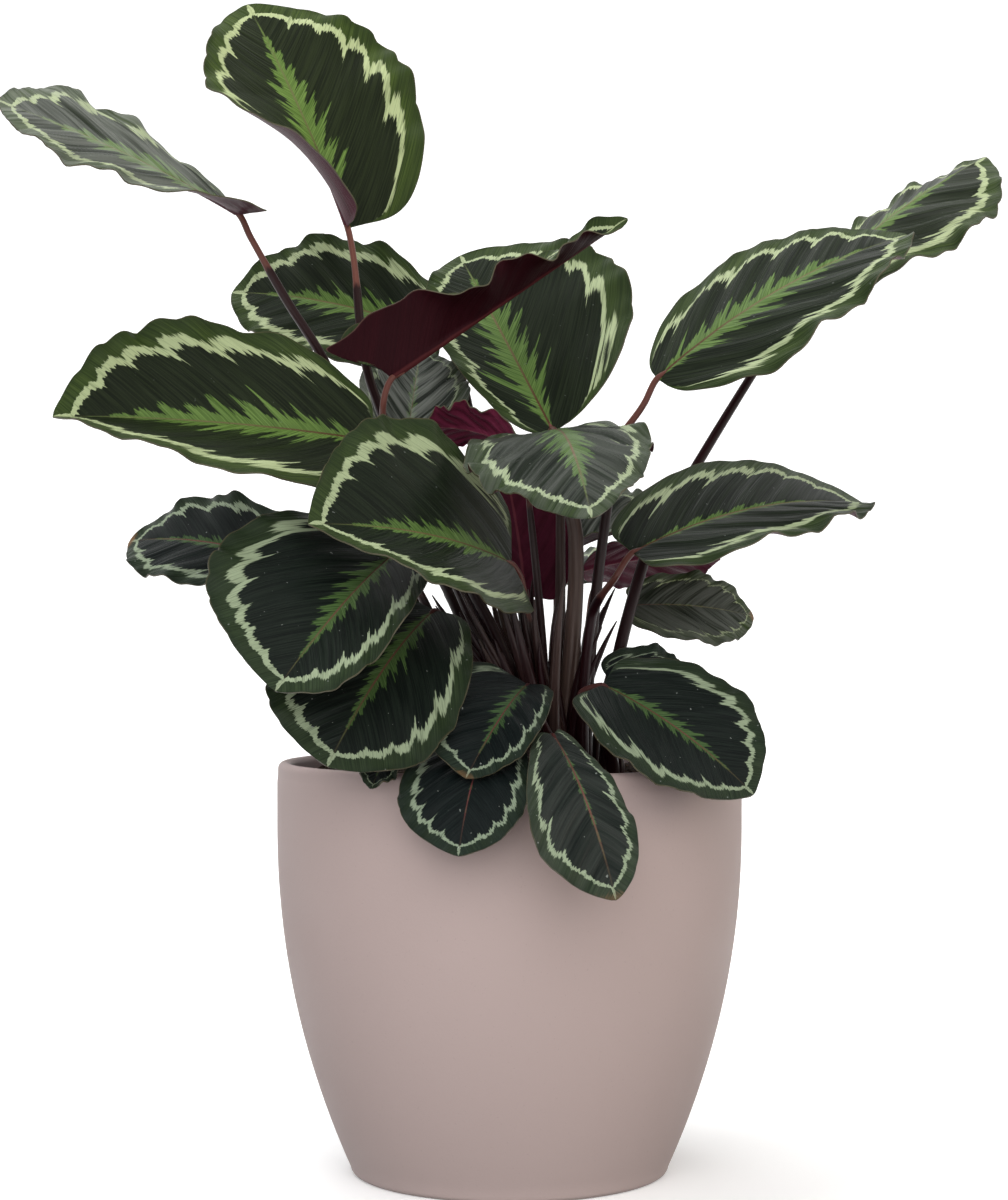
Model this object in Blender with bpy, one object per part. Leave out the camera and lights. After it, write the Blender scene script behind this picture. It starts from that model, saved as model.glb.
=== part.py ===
"""A potted calathea: a plain tapered pot, its soil, and a clump of leaves, each on its own stalk.

Metres, +Z up. The origin is the middle of the pot's foot. The front of the plant faces -Y.
"""
import math

import bmesh
import bpy
import numpy as np

# Pot
POT_RADIUS = 0.110
POT_HEIGHT = 0.194
FOOT_RADIUS = 0.074
SHOULDER_HEIGHT = 0.165
TAPER_POWER = 2.1
WALL = 0.006
FLOOR = 0.008
LIP_ROUND = 0.003
POT_SEGMENTS = 40

# Soil
SOIL_TOP = 0.187
SOIL_LUMP = 0.0012
SOIL_RINGS = (0.080, 0.055, 0.030)
HOLE_SIDES = 8
GAP = 0.0003

# Leaves and stalks
BLADE_THICKNESS = 0.0008
STEPS_ACROSS = 6
STEPS_ALONG = 12
EDGE_WAVE = 0.0022
WAVES_ALONG = 3.5
STALK_DEPTH = 0.024
STALK_RISE = 0.004
STALK_BEND = 0.012
STALK_STEPS = 3
STALK_NECK = 0.65
BLADE_TO_STALK = 0.0009

# The leaves, from the top of the plant to its foot. base is where the blade joins its stalk, tip is
# the blade's end, face is where its green side looks, and arch is how high its middle bows. half is
# the width of the blade's left and right halves, as seen on the green side with the tip up. fold and
# fold_tip are the angles in degrees that the halves are folded up by, at the base and at the tip, and
# curl rolls them further. slant carries the side veins towards the tip, lobe carries the margin behind
# the base, and hook lifts it there; two values are for the left and the right half. broadest is where
# along the blade it is widest. root is where the stalk leaves the soil, via holds points that it
# passes, and arrive is its direction at the blade.
LEAVES = [
    dict(name="01", base=(-0.078, 0.020, 0.450), tip=(-0.131, 0.065, 0.568), face=(0.15, -0.90, 0.35),
         half=(0.051, 0.059), arch=0.008, fold=(68, 5), fold_tip=(5, 0), curl=(25, 0), slant=(0.0, 0.04),
         root=(0.004, 0.004), via=[(-0.066, 0.010, 0.373)]),
    dict(name="02", base=(-0.128, -0.010, 0.453), tip=(-0.234, -0.050, 0.498), face=(0.49, -0.45, 0.75),
         half=(0.037, 0.043), arch=0.003, fold=(3, 0), lobe=(0.018, 0.0), hook=(0.013, 0.0), broadest=0.60,
         arrive=(-0.30, 0.12, 0.95),
         root=(-0.006, 0.000), via=[(-0.086, -0.004, 0.380), (-0.106, -0.008, 0.413)]),
    dict(name="03", base=(-0.034, 0.075, 0.403), tip=(-0.141, 0.090, 0.427), face=(-0.05, -0.80, 0.60),
         half=(0.041, 0.041), arch=0.008, fold=(8, 8),
         root=(0.008, 0.036), via=[(-0.014, 0.060, 0.330)]),
    dict(name="04", base=(-0.055, -0.024, 0.374), tip=(0.055, -0.025, 0.448), face=(-0.52, 0.05, 0.85),
         half=(0.028, 0.024), arch=0.0, fold=(66, 62), fold_tip=(20, 8), lobe=0.024, hook=0.011,
         tip_twist=70, broadest=0.30, slant=0.04,
         arrive=(0.3, 0, 0.95), root=(0.010, -0.012), via=[(-0.058, -0.018, 0.350)]),
    dict(name="05", base=(0.021, 0.010, 0.351), tip=(-0.025, 0.085, 0.445), face=(-0.27, -0.81, 0.51),
         half=(0.031, 0.067), arch=0.008, fold=(20, 0), slant=(0.12, 0.02), lobe=0.002,
         root=(0.024, 0.014), via=[]),
    dict(name="06", base=(0.069, -0.020, 0.374), tip=(0.191, 0.010, 0.445), face=(-0.25, -0.64, 0.72),
         half=(0.045, 0.052), arch=0.010, fold=(-5, -10), fold_tip=(-5, 30), lobe=0.0,
         root=(0.036, -0.004), via=[(0.050, -0.014, 0.340)]),
    dict(name="07", base=(0.150, 0.060, 0.426), tip=(0.243, 0.090, 0.496), face=(-0.35, -0.65, 0.70),
         half=(0.034, 0.047), arch=0.006, fold=(-27, 0), broadest=0.55, slant=(0.08, 0.02),
         arrive=(0.6, 0.3, 0.74), root=(0.046, 0.006), via=[(0.064, 0.010, 0.2875), (0.090, 0.030, 0.334)]),
    dict(name="08", base=(-0.064, -0.034, 0.344), tip=(-0.207, -0.060, 0.353), face=(-0.05, -0.90, 0.42),
         half=(0.060, 0.051), arch=0.006, fold=(25, 5), fold_tip=(60, 5), slant=(0.08, 0.12),
         root=(0.002, -0.019), via=[(-0.030, -0.027, 0.290)]),
    dict(name="09", base=(-0.100, 0.000, 0.286), tip=(-0.187, 0.045, 0.299), face=(-0.10, -0.72, 0.68),
         half=(0.030, 0.031), arch=0.008, fold=(5, 5),
         root=(-0.006, 0.008), via=[(-0.050, 0.004, 0.240)]),
    dict(name="10", base=(0.001, -0.040, 0.287), tip=(-0.088, -0.105, 0.303), face=(0.60, -0.68, 0.45),
         half=(0.052, 0.058), arch=0.010, fold=(15, 5), fold_tip=(45, 5),
         root=(0.016, -0.022), via=[]),
    dict(name="11", base=(-0.051, -0.060, 0.292), tip=(-0.100, -0.130, 0.231), face=(0.10, -0.85, 0.45),
         half=(0.036, 0.059), arch=0.010, fold=(30, 5), slant=(0.22, 0.13),
         root=(-0.002, -0.029), via=[(-0.036, -0.040, 0.262)]),
    dict(name="12", base=(-0.0345, -0.056, 0.2655), tip=(-0.079, -0.115, 0.198), face=(0.00, -0.85, 0.50),
         half=(0.042, 0.045), arch=0.012, fold=(5, 0), slant=0.16, broadest=0.50,
         root=(0.008, -0.036), via=[]),
    dict(name="13", base=(0.008, -0.060, 0.232), tip=(-0.019, -0.118, 0.193), face=(0.10, -0.75, 0.60),
         half=(0.020, 0.036), arch=0.008, fold=(15, 5), slant=0.14, stalk=0.0015, sheath=0.0024,
         root=(0.022, -0.034), via=[]),
    dict(name="14", base=(-0.010, -0.084, 0.205), tip=(-0.022, -0.134, 0.161), face=(-0.10, -0.85, 0.50),
         half=(0.026, 0.031), arch=0.010, fold=(5, 0), slant=0.14, stalk=0.0015, sheath=0.0024,
         root=(0.014, -0.046), via=[]),
    dict(name="15", base=(0.019, -0.096, 0.211), tip=(0.044, -0.158, 0.145), face=(0.15, -0.90, 0.40),
         half=(0.017, 0.028), arch=0.010, fold=(0, 5), broadest=0.58, stalk=0.0015, sheath=0.0024,
         root=(0.028, -0.046), via=[]),
    dict(name="16", base=(0.042, -0.065, 0.232), tip=(0.1075, -0.090, 0.184), face=(0.10, -0.70, 0.70),
         half=(0.037, 0.040), arch=0.006, fold=(5, 12), slant=(0.08, 0.02),
         root=(0.048, -0.032), via=[]),
    dict(name="17", base=(0.062, 0.050, 0.268), tip=(0.122, 0.065, 0.262), face=(0.0, -0.80, 0.60),
         half=(0.020, 0.024), arch=0.004, fold=(5, 5), stalk=0.0015, sheath=0.0024,
         arrive=(0.4, -0.5, 0.7), root=(0.042, 0.028), via=[]),
    dict(name="18", base=(0.056, -0.050, 0.292), tip=(0.169, 0.005, 0.316), face=(-0.15, -0.55, 0.80),
         half=(0.044, 0.045), arch=0.010, fold=(5, 5), fold_tip=(5, 20),
         root=(0.034, -0.020), via=[(0.038, -0.032, 0.262)]),
    dict(name="19", base=(0.020, -0.030, 0.349), tip=(0.035, -0.125, 0.305), face=(0.00, -0.66, 0.75),
         half=(0.038, 0.047), arch=0.013, fold=(-5, -12), slant=0.0, lobe=0.006, broadest=0.40,
         root=(0.026, -0.010), via=[(0.031, -0.016, 0.300)]),
    dict(name="20", base=(0.026, 0.060, 0.294), tip=(0.085, 0.078, 0.308), face=(0.0, -0.05, 1.0),
         half=(0.030, 0.030), arch=0.004, fold=(50, 12),
         arrive=(0.2, 0.1, 0.97), root=(0.026, 0.042), via=[]),
    dict(name="21", base=(0.036, 0.055, 0.286), tip=(0.106, 0.070, 0.291), face=(0.0, 0.50, 0.87),
         half=(0.028, 0.028), arch=0.004, fold=(0, 0), lobe=0.0,
         arrive=(0.3, 0.1, 0.95), root=(0.036, 0.036), via=[]),
    dict(name="22", base=(0.008, 0.020, 0.272), tip=(-0.002, 0.030, 0.335), face=(0.2, 0.9, 0.3),
         half=(0.030, 0.030), arch=0.004, fold=(5, 5),
         root=(0.012, 0.013), via=[]),
    dict(name="23", base=(-0.050, 0.025, 0.345), tip=(-0.044, 0.055, 0.395), face=(0.1, -0.8, 0.6),
         half=(0.027, 0.027), arch=0.004, fold=(5, 5),
         root=(0.002, 0.018), via=[]),
    dict(name="24", base=(0.000, -0.004, 0.345), tip=(-0.042, -0.002, 0.352), face=(0.1, 0.5, 0.85),
         half=(0.018, 0.018), arch=0.004, fold=(5, 5), stalk=0.0015, sheath=0.0024,
         root=(0.018, 0.004), via=[]),
    dict(name="25", base=(0.048, -0.012, 0.230), tip=(0.085, -0.004, 0.221), face=(0.1, -0.8, 0.6),
         half=(0.025, 0.025), arch=0.004, fold=(5, 5), stalk=0.0015, sheath=0.0024,
         arrive=(0.3, -0.5, 0.8), root=(0.052, -0.014), via=[]),
    dict(name="26", base=(-0.049, -0.077, 0.206), tip=(-0.060, -0.109, 0.188), face=(-0.1, -0.6, 0.8),
         half=(0.011, 0.011), arch=0.004, fold=(5, 5), stalk=0.0012, sheath=0.0018,
         root=(-0.006, -0.044), via=[]),
    dict(name="27", base=(0.000, 0.070, 0.300), tip=(-0.050, 0.160, 0.320), face=(0.1, 0.1, 1.0),
         half=(0.042, 0.042), arch=0.016, fold=(8, 8),
         root=(0.016, 0.040), via=[]),
    dict(name="28", base=(0.045, 0.100, 0.280), tip=(0.095, 0.170, 0.275), face=(0.1, 0.3, 0.95),
         half=(0.034, 0.036), arch=0.018, fold=(8, 8),
         root=(0.034, 0.046), via=[]),
    dict(name="29", base=(-0.060, 0.045, 0.265), tip=(-0.130, 0.110, 0.250), face=(-0.2, 0.3, 0.9),
         half=(0.038, 0.038), arch=0.014, fold=(8, 8),
         root=(-0.004, 0.024), via=[]),
]
USUAL = dict(curl=(0, 0), fold_tip=None, broadest=0.45, tip_twist=0.0, lobe=0.008, hook=0.0, slant=0.08,
             stalk=0.0020, sheath=0.0030, arrive=None)


def unit(vector):
    """The same direction, one long."""
    vector = np.asarray(vector, dtype=float)
    return vector / np.linalg.norm(vector)


def filled(leaf):
    """A leaf's values, with the usual ones where it names none, and waves that start elsewhere."""
    leaf = {**USUAL, **leaf}
    leaf["fold_tip"] = leaf["fold_tip"] or leaf["fold"]
    leaf["first_wave"] = 1.7 * int(leaf["name"])
    return leaf


def midrib(leaf, s):
    """Place, forward, green side and right side of the blade at s, from 0 at base to 1 at tip."""
    base = np.array(leaf["base"])
    run = np.array(leaf["tip"]) - base
    forward = unit(run)
    up = unit(np.array(leaf["face"]) - forward * np.dot(leaf["face"], forward))

    bow = up * leaf["arch"]
    held = np.clip(s, 0.0, 1.0)[..., None]
    place = base + run * s[..., None] + bow * 4 * (held * (1 - held) + np.minimum(s, 0.0)[..., None])
    ahead = run + bow * 4 * (1 - 2 * held)
    ahead /= np.linalg.norm(ahead, axis=-1, keepdims=True)
    normal = up - ahead * (ahead @ up)[..., None]
    normal /= np.linalg.norm(normal, axis=-1, keepdims=True)
    side = np.cross(ahead, normal)
    turn = np.radians(leaf["tip_twist"] * held ** 6)
    return (place, ahead, normal * np.cos(turn) + side * np.sin(turn),
            side * np.cos(turn) - normal * np.sin(turn))


def blade_surface(leaf, across, along):
    """Points of a blade's middle surface, a row from left to right for each step from base to tip."""
    even = np.linspace(0, 1, along + 1)
    closer_at_ends = even - 0.08 * np.sin(2 * np.pi * even)
    m, u = np.meshgrid(closer_at_ends, np.linspace(-1, 1, across + 1), indexing="ij")
    length = np.linalg.norm(np.array(leaf["tip"]) - np.array(leaf["base"]))
    left = u < 0
    widest = np.where(left, *leaf["half"])
    stretch = m ** (math.log(0.5) / math.log(leaf["broadest"]))
    part = np.clip(np.sin(np.pi * stretch), 0, 1) ** (0.54 + 0.16 * m ** 3)
    by_base = m / 0.08 * np.exp(1 - m / 0.08)
    lobe = np.where(left, *np.broadcast_to(leaf["lobe"], 2)) / length * by_base
    edge = m + np.where(left, *np.broadcast_to(leaf["slant"], 2)) * np.sin(np.pi * m) - lobe
    s = m + np.abs(u) ** 1.3 * (edge - m)
    place, ahead, normal, side = midrib(leaf, s)
    at_base = np.where(left, *leaf["fold"])
    at_tip = np.where(left, *leaf["fold_tip"])
    fold = np.radians(at_base + (at_tip - at_base) * np.clip(s, 0, 1))
    curl = np.radians(np.where(left, *leaf["curl"])) + 1e-4
    hook = np.where(left, *np.broadcast_to(leaf["hook"], 2)) * u * u * by_base
    part = np.abs(u) * part
    out = widest / curl * (np.sin(fold + curl * part) - np.sin(fold))
    rise = widest / curl * (np.cos(fold) - np.cos(fold + curl * part))
    start = leaf["first_wave"] + np.where(left, 0.0, 2.0)
    ripple = EDGE_WAVE * np.abs(u) ** 2.5 * np.sin(np.pi * m) ** 0.5
    rise = rise + hook + ripple * np.sin(2 * np.pi * WAVES_ALONG * m + start)
    return place + side * (np.sign(u) * out)[..., None] + normal * rise[..., None]


def smooth_route(points, first, last, steps):
    """Points along a smooth curve through the given ones, which starts and ends in set directions."""
    points = [np.asarray(p, dtype=float) for p in points]
    lengths = [np.linalg.norm(b - a) for a, b in zip(points, points[1:])]
    slopes = [unit(first)]
    for k in range(1, len(points) - 1):
        before = (points[k] - points[k - 1]) / lengths[k - 1]
        after = (points[k + 1] - points[k]) / lengths[k]
        share = lengths[k - 1] + lengths[k]
        slopes.append((before * lengths[k - 1] + after * lengths[k]) / share)
    slopes.append(unit(last))
    route = []
    for a, b, u, v, h in zip(points, points[1:], slopes, slopes[1:], lengths):
        for t in np.arange(steps) / steps:
            route.append(a * (1 + 2 * t) * (1 - t) ** 2 + b * t * t * (3 - 2 * t)
                         + h * (u * t * (1 - t) ** 2 - v * t * t * (1 - t)))
    return route + [points[-1]]


def stalk_route(leaf, steps):
    """The stalk's middle line: straight up out of the soil, then in an arc to the blade's joint."""
    ahead = midrib(leaf, np.array([0.0]))[1][0]
    arrive = unit(leaf["arrive"] or ahead + np.array([0, 0, 0.8]))
    end = np.array(leaf["base"]) - arrive * BLADE_TO_STALK
    x, y = leaf["root"]
    foot = np.array([x, y, SOIL_TOP - STALK_DEPTH])
    points = [(x, y, SOIL_TOP + STALK_RISE), *leaf["via"], end - arrive * STALK_BEND, end]
    return [foot] + smooth_route(points, (0, 0, 1), arrive, steps)


def stalk_radii(leaf, route):
    """The stalk's radius along its route, thicker where it is sheathed and narrow at its end."""
    share = np.linspace(0, 1, len(route))
    radii = leaf["stalk"] + (leaf["sheath"] - leaf["stalk"]) * (1 - share) ** 2
    radii[-1] *= STALK_NECK
    return radii


# The scene's own objects go first
for old in list(bpy.data.objects):
    bpy.data.objects.remove(old, do_unlink=True)


def material(name, colour, roughness):
    """A plain finish."""
    made = bpy.data.materials.new(name)
    made.use_nodes = True
    shader = made.node_tree.nodes["Principled BSDF"]
    shader.inputs["Base Color"].default_value = (*colour, 1.0)
    shader.inputs["Roughness"].default_value = roughness
    return made


def node(name, data, finish):
    """An object in the scene, holding the given mesh or curve."""
    made = bpy.data.objects.new(name, data)
    bpy.context.scene.collection.objects.link(made)
    data.materials.append(finish)
    return made


def pot_radius(z):
    """Outer radius of the pot: it swells from the foot and is straight from the shoulder up."""
    share = max(0.0, 1 - z / SHOULDER_HEIGHT)
    return POT_RADIUS - (POT_RADIUS - FOOT_RADIUS) * share ** TAPER_POWER


def turned(name, profile, finish):
    """A solid turned round the Z axis from a profile of radius and height, both ends on the axis."""
    shape = bmesh.new()
    corners = [shape.verts.new((r, 0, z)) for r, z in profile]
    for a, b in zip(corners, corners[1:]):
        shape.edges.new((a, b))
    bmesh.ops.spin(shape, geom=shape.verts[:] + shape.edges[:], angle=2 * math.pi, steps=POT_SEGMENTS,
                   axis=(0, 0, 1), cent=(0, 0, 0), use_merge=True)
    bmesh.ops.remove_doubles(shape, verts=shape.verts[:], dist=1e-6)
    bmesh.ops.recalc_face_normals(shape, faces=shape.faces[:])
    mesh = bpy.data.meshes.new(name)
    shape.to_mesh(mesh)
    shape.free()
    mesh.shade_smooth()
    mesh.set_sharp_from_angle(angle=math.radians(40))
    return node(name, mesh, finish)


def make_pot(finish):
    """The pot's wall, its round lip and its thick floor."""
    heights = np.linspace(LIP_ROUND, POT_HEIGHT - LIP_ROUND, 10)
    outside = [(0, 0), (pot_radius(0) - LIP_ROUND, 0)] + [(pot_radius(z), z) for z in heights]
    middle = POT_RADIUS - WALL / 2
    lip_low = POT_HEIGHT - LIP_ROUND
    turns = np.radians([45, 90, 135])
    lip = [(middle + WALL / 2 * math.cos(a), lip_low + LIP_ROUND * math.sin(a)) for a in turns]
    inside = [(pot_radius(z) - WALL, z) for z in np.linspace(lip_low, FLOOR, 7)]
    return turned("pot", outside + lip + inside + [(0, FLOOR)], finish)


def make_soil(finish, leaves):
    """The soil, lumpy on top, with a plain hole for each stalk."""
    low = FLOOR + GAP
    side = [(pot_radius(z) - WALL - GAP * 1.5, z) for z in np.linspace(low, SOIL_TOP, 6)]
    rings = [(r, SOIL_TOP) for r in SOIL_RINGS]
    soil = turned("soil", [(0, low)] + side + rings + [(0, SOIL_TOP)], finish)
    for vertex in soil.data.vertices:
        x, y, z = vertex.co
        if z > SOIL_TOP - GAP:
            broad = math.sin(x * 210 + 1) * math.cos(y * 170)
            fine = math.sin(y * 420 + x * 300)
            vertex.co.z += SOIL_LUMP * (broad + 0.5 * fine)
    depth = 2 * STALK_DEPTH
    for leaf in leaves:
        x, y = leaf["root"]
        wide = (leaf["sheath"] + GAP) / math.cos(math.pi / HOLE_SIDES)
        place = (x, y, SOIL_TOP - STALK_DEPTH - GAP + depth / 2)
        bpy.ops.mesh.primitive_cylinder_add(vertices=HOLE_SIDES, radius=wide, depth=depth, location=place)
        cutter = bpy.context.object
        cutter.name = "hole_" + leaf["name"]
        cutter.hide_render = True
        cutter.display_type = "WIRE"
        cut = soil.modifiers.new(cutter.name, "BOOLEAN")
        cut.operation = "DIFFERENCE"
        cut.object = cutter
    return soil


def make_blade(leaf, finish):
    """One waved blade, split into the same triangles on both faces."""
    rows = blade_surface(leaf, STEPS_ACROSS, STEPS_ALONG)
    shape = bmesh.new()
    base = shape.verts.new(rows[0, 0])
    tip = shape.verts.new(rows[-1, 0])
    grid = [[shape.verts.new(point) for point in row] for row in rows[1:-1]]
    for a, b in zip(grid[0], grid[0][1:]):
        shape.faces.new((base, b, a))
    for a, b in zip(grid[-1], grid[-1][1:]):
        shape.faces.new((tip, a, b))
    for low, high in zip(grid, grid[1:]):
        for k in range(STEPS_ACROSS):
            shape.faces.new((low[k], low[k + 1], high[k + 1]))
            shape.faces.new((low[k], high[k + 1], high[k]))
    mesh = bpy.data.meshes.new("leaf_" + leaf["name"])
    shape.to_mesh(mesh)
    shape.free()
    mesh.shade_smooth()
    blade = node(mesh.name, mesh, finish)
    thick = blade.modifiers.new("thickness", "SOLIDIFY")
    thick.thickness = BLADE_THICKNESS
    thick.offset = 0.0
    return blade


def make_stalk(leaf, finish):
    """One stalk, a tapered tube along its route."""
    route = stalk_route(leaf, STALK_STEPS)
    curve = bpy.data.curves.new("stalk_" + leaf["name"], "CURVE")
    curve.dimensions = "3D"
    curve.bevel_depth = 0.001
    curve.bevel_resolution = 1
    curve.use_fill_caps = True
    line = curve.splines.new("POLY")
    line.points.add(len(route) - 1)
    for point, place, radius in zip(line.points, route, stalk_radii(leaf, route)):
        point.co = (*place, 1.0)
        point.radius = radius / curve.bevel_depth
    return node(curve.name, curve, finish)


clay = material("matte_taupe_glaze", (0.47, 0.38, 0.36), 0.6)
earth = material("potting_soil", (0.03, 0.02, 0.015), 0.95)
green = material("banded_leaf", (0.03, 0.10, 0.04), 0.4)
maroon = material("maroon_stalk", (0.10, 0.02, 0.03), 0.4)
plant = [filled(leaf) for leaf in LEAVES]
make_pot(clay)
make_soil(earth, plant)
for leaf in plant:
    make_blade(leaf, green)
    make_stalk(leaf, maroon)
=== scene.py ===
"""The looks of a potted calathea: a matte taupe pot, its soil, and banded leaves on maroon stalks."""
import math
import random

import bpy
import numpy as np
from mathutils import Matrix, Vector


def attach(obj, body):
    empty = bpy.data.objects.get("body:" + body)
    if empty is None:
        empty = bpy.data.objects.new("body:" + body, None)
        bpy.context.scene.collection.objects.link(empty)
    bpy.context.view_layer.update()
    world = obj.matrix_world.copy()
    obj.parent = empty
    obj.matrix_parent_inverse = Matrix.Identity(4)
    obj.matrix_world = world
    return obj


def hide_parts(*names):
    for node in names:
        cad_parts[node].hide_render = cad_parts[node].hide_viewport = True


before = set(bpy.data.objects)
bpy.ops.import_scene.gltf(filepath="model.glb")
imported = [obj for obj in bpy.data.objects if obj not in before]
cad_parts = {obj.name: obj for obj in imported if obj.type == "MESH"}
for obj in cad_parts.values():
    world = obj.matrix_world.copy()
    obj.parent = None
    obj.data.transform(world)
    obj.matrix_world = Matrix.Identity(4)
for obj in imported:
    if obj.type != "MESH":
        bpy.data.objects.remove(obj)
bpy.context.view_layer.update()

# The viewing place: a camera level with the middle of the plant, as the photo was taken, with a long
# lens, so the pot's sides hardly narrow. The image is taken to be 1200 high, with eye level at row 607.
CAMERA_PLACE = (-0.0026, -1.263, 0.267)
CAMERA_LENS = 79.7
IMAGE_HIGH = 1200
EYE_LEVEL_ROW = 607

bpy.ops.object.select_all(action="DESELECT")
bpy.ops.object.camera_add(location=CAMERA_PLACE, rotation=(math.radians(90), 0, 0))
camera = bpy.context.object
camera.name = "camera"
camera.data.lens = CAMERA_LENS
camera.data.shift_y = (EYE_LEVEL_ROW - IMAGE_HIGH / 2) / IMAGE_HIGH
bpy.context.scene.camera = camera

# The studio: a white floor that curves up behind into a white wall, under a pale sky that is dimmer
# below. Broad soft lights hang overhead and stand in front and at both sides, cool from the left and
# warm from the right. Gloss shows only the weak upper one and the right one.
FLOOR_HALF = 4.0
WALL_PLACE = 2.6
WALL_ROUND = 1.2
WALL_STEPS = 8
WALL_HEIGHT = 3.0
WHITE = (1.0, 1.0, 1.0)
PAPER = (0.93, 0.93, 0.93)
GLOW_REACH = (0.14, 0.9)
GLOW = (0.20, 0.50)
SKY_REACH = (-0.5, 0.1)
SKY_LIGHT = (0.16, 0.42)
LIGHTS_AIM = (0, 0, 0.25)


def plain_material(name, colour, roughness):
    """A plain finish, and its shader."""
    made = bpy.data.materials.new(name)
    made.use_nodes = True
    shader = made.node_tree.nodes["Principled BSDF"]
    shader.inputs["Base Color"].default_value = (*colour, 1.0)
    shader.inputs["Roughness"].default_value = roughness
    return made, shader


def link(tree, source, target):
    """Joins an output to an input."""
    tree.links.new(source, target)


def give(tree, socket, term):
    """Sets an input to a number or a colour, or joins a result to it."""
    if isinstance(term, (int, float)):
        socket.default_value = term
    elif isinstance(term, tuple):
        socket.default_value = (*term, 1.0)
    else:
        link(tree, term, socket)


def eased(tree, value, low, high, start=0.0, end=1.0):
    """Passes smoothly from start to end as value goes from low to high."""
    step = tree.nodes.new("ShaderNodeMapRange")
    step.interpolation_type = "SMOOTHSTEP"
    terms = {"Value": value, "From Min": low, "From Max": high, "To Min": start, "To Max": end}
    for name, term in terms.items():
        give(tree, step.inputs[name], term)
    return step.outputs["Result"]


def soft_light(name, place, size, power, colour, glossy=True):
    """A square light that looks at the middle of the plant, and that gloss shows or doesn't show."""
    bpy.ops.object.light_add(type="AREA", location=place)
    light = bpy.context.object
    light.name = name
    light.data.size = size
    light.data.energy = power
    light.data.color = colour
    light.visible_glossy = glossy
    aim = Vector(LIGHTS_AIM) - Vector(place)
    light.rotation_euler = aim.to_track_quat("-Z", "Y").to_euler()


bpy.ops.mesh.primitive_plane_add(size=2 * FLOOR_HALF)
backdrop = bpy.context.object
backdrop.name = "backdrop"
bpy.ops.object.mode_set(mode="EDIT")
bpy.ops.mesh.select_all(action="DESELECT")
bpy.ops.object.mode_set(mode="OBJECT")
for corner in backdrop.data.vertices:
    if corner.co.y > 0:
        corner.co.y = WALL_PLACE - WALL_ROUND
for edge in backdrop.data.edges:
    edge.select = all(backdrop.data.vertices[v].co.y > 0 for v in edge.vertices)
bpy.ops.object.mode_set(mode="EDIT")
for step in range(WALL_STEPS):
    low, high = math.radians(step * 90 / WALL_STEPS), math.radians((step + 1) * 90 / WALL_STEPS)
    move = (0, WALL_ROUND * (math.sin(high) - math.sin(low)), WALL_ROUND * (math.cos(low) - math.cos(high)))
    bpy.ops.mesh.extrude_region_move(TRANSFORM_OT_translate={"value": move})
bpy.ops.mesh.extrude_region_move(TRANSFORM_OT_translate={"value": (0, 0, WALL_HEIGHT)})
bpy.ops.object.mode_set(mode="OBJECT")
bpy.ops.object.shade_smooth()
paper, paper_shader = plain_material("white_paper", PAPER, 0.9)
paper_shader.inputs["Emission Color"].default_value = (*WHITE, 1.0)
# The paper glows by itself, faintly near the pot and more further out: painted light that keeps the backdrop
# white around the pot's soft shadow
from_middle = paper.node_tree.nodes.new("ShaderNodeVectorMath")
from_middle.operation = "LENGTH"
paper_place = paper.node_tree.nodes.new("ShaderNodeTexCoord").outputs["Object"]
link(paper.node_tree, paper_place, from_middle.inputs[0])
glow = eased(paper.node_tree, from_middle.outputs["Value"], *GLOW_REACH, *GLOW)
link(paper.node_tree, glow, paper_shader.inputs["Emission Strength"])
backdrop.data.materials.append(paper)
backdrop.visible_diffuse = False

soft_light("light_overhead", (-0.40, 0.3, 2.0), 1.3, 34, WHITE, glossy=False)
soft_light("light_sheen", (0.1, 0.6, 2.1), 1.5, 1.5, WHITE)
soft_light("light_front", (-0.10, -2.0, 1.15), 2.6, 45, (1.0, 0.995, 0.99), glossy=False)
soft_light("light_low", (0.4, -2.2, 0.15), 1.6, 6, (1.0, 0.99, 0.96), glossy=False)
soft_light("light_left", (-2.3, -0.6, 1.0), 1.2, 5.0, (0.80, 0.90, 1.0), glossy=False)
soft_light("light_right", (2.3, -0.6, 1.0), 1.2, 9.5, (1.0, 0.89, 0.72))

sky = bpy.data.worlds.new("pale_sky")
sky.use_nodes = True
sky.node_tree.nodes["Background"].inputs["Color"].default_value = (*WHITE, 1.0)
upward = sky.node_tree.nodes.new("ShaderNodeSeparateXYZ")
link(sky.node_tree, sky.node_tree.nodes.new("ShaderNodeTexCoord").outputs["Generated"], upward.inputs[0])
light_of = eased(sky.node_tree, upward.outputs[2], *SKY_REACH, *SKY_LIGHT)
link(sky.node_tree, light_of, sky.node_tree.nodes["Background"].inputs["Strength"])
bpy.context.scene.world = sky
bpy.context.scene.view_settings.view_transform = "Standard"

# The pot: a plain thrown pot of pinkish taupe clay with a matte glaze. It swells from a narrow flat
# foot, is straight in its upper part and ends in a round lip, with a faint soft step just under it.
POT_RADIUS = 0.110
POT_HEIGHT = 0.194
FOOT_RADIUS = 0.074
SHOULDER_HEIGHT = 0.165
TAPER_POWER = 2.1
WALL = 0.006
FLOOR = 0.008
LIP_ROUND = 0.003
STEP_BELOW_LIP = 0.0075
STEP_DEPTH = 0.00035
STEP_SOFTNESS = 0.0006
POT_SEGMENTS = 128
COARSE_RINGS_TO = 0.012
FINE_RINGS_FROM = 0.011
OUTSIDE_RINGS = (30, 14)
LIP_RINGS = 11
INSIDE_RINGS = 24
GLAZE_DARK = (0.468, 0.365, 0.345)
GLAZE_LIGHT = (0.497, 0.389, 0.368)
GLAZE_SPECK = (0.34, 0.26, 0.24)


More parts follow.
